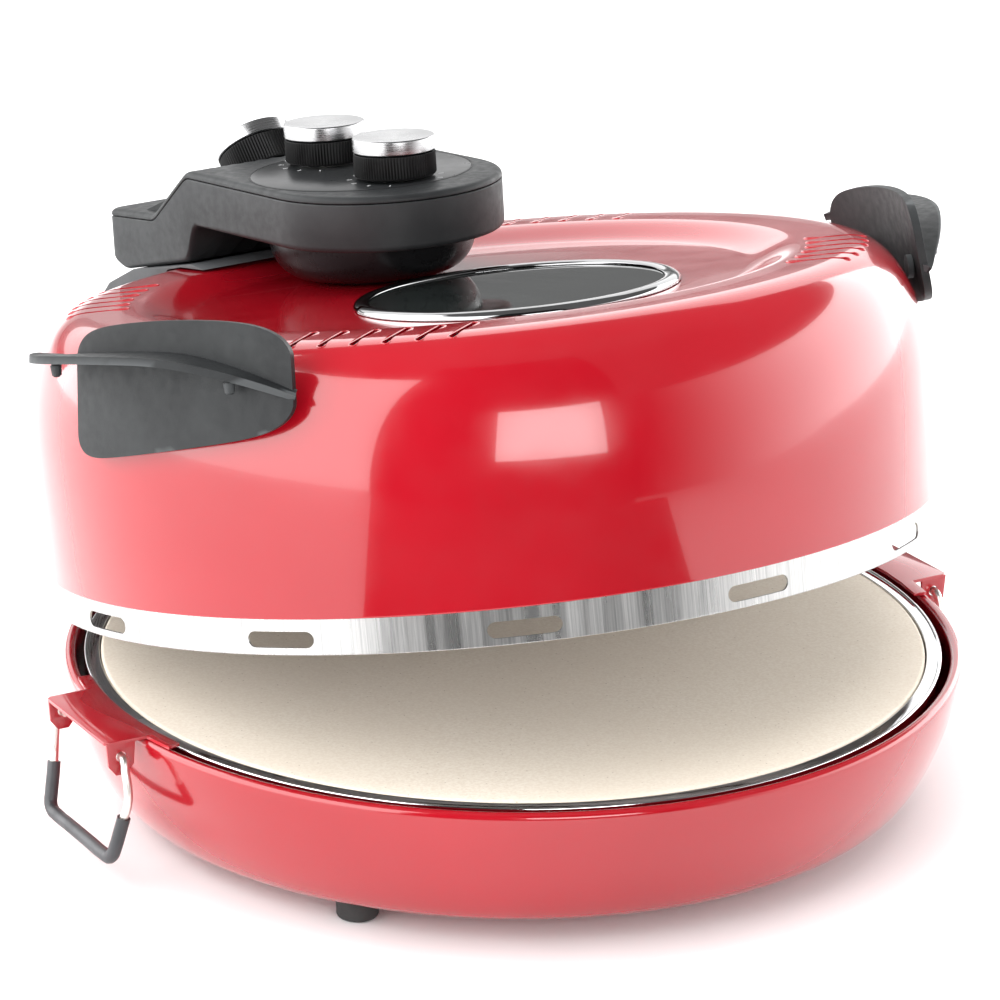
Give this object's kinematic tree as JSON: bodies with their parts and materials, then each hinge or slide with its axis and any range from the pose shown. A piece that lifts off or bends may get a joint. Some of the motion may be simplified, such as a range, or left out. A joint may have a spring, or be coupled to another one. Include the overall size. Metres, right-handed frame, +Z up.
{
  "type": "countertop pizza oven",
  "caption": "Round red countertop pizza oven: enamelled base with a stone plate, hinged domed lid with a smoked window, wire bail handles and a black control arm with dial knobs.",
  "frame": {"origin": "centre of the bounding box in X and Y, on the plane that the rubber feet stand on", "axes": "+X to the right seen from the front, -Y the front where the lid opens, +Y the hinge and the controls, +Z up; the lid stands ajar by 10.6 degrees"},
  "size_m": [0.389, 0.3978, 0.235],
  "materials": {
    "red_enamel": "gloss red enamel on pressed sheet",
    "aluminised_sheet": "dull aluminised sheet",
    "black_rubber": "matt black rubber",
    "polished_chrome": "polished trim",
    "cordierite": "fired cordierite with a fine matt grain",
    "heater_sheath": "heat-darkened metal sheath",
    "brushed_steel": "brushed or plain steel",
    "white_ceramic": "white ceramic or pale switch moulding",
    "vinyl_sleeve": "smooth black sleeve",
    "smoked_glass": "dark tempered glass",
    "black_moulding": "fine-textured black moulding",
    "grey_moulding": "fine-textured dark grey moulding",
    "spun_aluminium": "spun aluminium cap"
  },
  "bodies": {
    "base": {"base_bowl": "red_enamel", "bottom_plate": "aluminised_sheet", "foot_1": "black_rubber", "foot_2": "black_rubber", "foot_3": "black_rubber", "foot_4": "black_rubber", "trim_ring": "polished_chrome", "inner_tray": "aluminised_sheet", "lower_element": "heater_sheath", "tray_spacer": "brushed_steel", "element_stand_1": "white_ceramic", "element_stand_2": "white_ceramic", "element_stand_3": "white_ceramic", "bail_bracket_left": "red_enamel", "bail_bracket_right": "red_enamel", "hinge_bracket": "brushed_steel", "hinge_pin": "brushed_steel"},
    "lid": {"lid_shell": "red_enamel", "lid_liner": "aluminised_sheet", "window_seal": "black_rubber", "cord_gland": "black_rubber", "window_bezel": "polished_chrome", "upper_element": "heater_sheath", "hinge_arm": "brushed_steel", "steel_band": "brushed_steel", "cover_screw": "brushed_steel", "element_clip_1": "white_ceramic", "element_clip_2": "white_ceramic", "element_clip_3": "white_ceramic", "timer": "white_ceramic", "thermostat": "white_ceramic", "selector": "white_ceramic", "terminal_block": "white_ceramic", "window_glass": "smoked_glass", "inner_glass": "smoked_glass", "handle_left": "black_moulding", "handle_right": "black_moulding", "handle_spacer_left_front": "black_moulding", "handle_spacer_left_rear": "black_moulding", "handle_spacer_right_front": "black_moulding", "handle_spacer_right_rear": "black_moulding", "control_pedestal": "black_moulding", "control_housing": "black_moulding", "control_cover": "black_moulding", "dial_plate": "black_moulding", "hinge_cover": "grey_moulding"},
    "stone": {"pizza_stone": "cordierite"},
    "bail_left_body": {"bail_left": "brushed_steel", "bail_grip_left": "vinyl_sleeve"},
    "bail_right_body": {"bail_right": "brushed_steel", "bail_grip_right": "vinyl_sleeve"},
    "timer_knob": {"knob_front_cap": "spun_aluminium", "knob_front_skirt": "black_moulding", "knob_front_shaft": "brushed_steel"},
    "thermostat_knob": {"knob_middle_cap": "spun_aluminium", "knob_middle_skirt": "black_moulding", "knob_middle_shaft": "brushed_steel"},
    "selector_knob": {"knob_rear_cap": "spun_aluminium", "knob_rear_skirt": "black_moulding", "knob_rear_shaft": "brushed_steel"}
  },
  "joints": [
    {"name": "lid_hinge", "type": "hinge", "parent": "base", "child": "lid", "pos_m": [0, 0.1321, 0.009], "axis": [-1, 0, 0], "range_deg": [-10.6, 57]},
    {"name": "stone_lift", "type": "slide", "parent": "base", "child": "stone", "axis": [0, 0, 1], "range_m": [0, 0.014]},
    {"name": "bail_left_swing", "type": "hinge", "parent": "base", "child": "bail_left_body", "pos_m": [-0.17446, -0.01717, 0.0524], "axis": [0.0785, 0.9969, 0], "range_deg": [0, 140]},
    {"name": "bail_right_swing", "type": "hinge", "parent": "base", "child": "bail_right_body", "pos_m": [0.17446, -0.04463, 0.0524], "axis": [-0.0785, -0.9969, 0], "range_deg": [0, 140]},
    {"name": "timer_turn", "type": "hinge", "parent": "lid", "child": "timer_knob", "pos_m": [0, 0.05041, 0.2169], "axis": [0, -0.1132, -0.9936], "range_deg": [0, 300]},
    {"name": "thermostat_turn", "type": "hinge", "parent": "lid", "child": "thermostat_knob", "pos_m": [0, 0.09969, 0.21129], "axis": [0, -0.1132, -0.9936], "range_deg": [0, 270]},
    {"name": "selector_turn", "type": "hinge", "parent": "lid", "child": "selector_knob", "pos_m": [0, 0.14312, 0.19525], "axis": [0, -0.6803, -0.7329], "range_deg": [0, 270]}
  ]
}
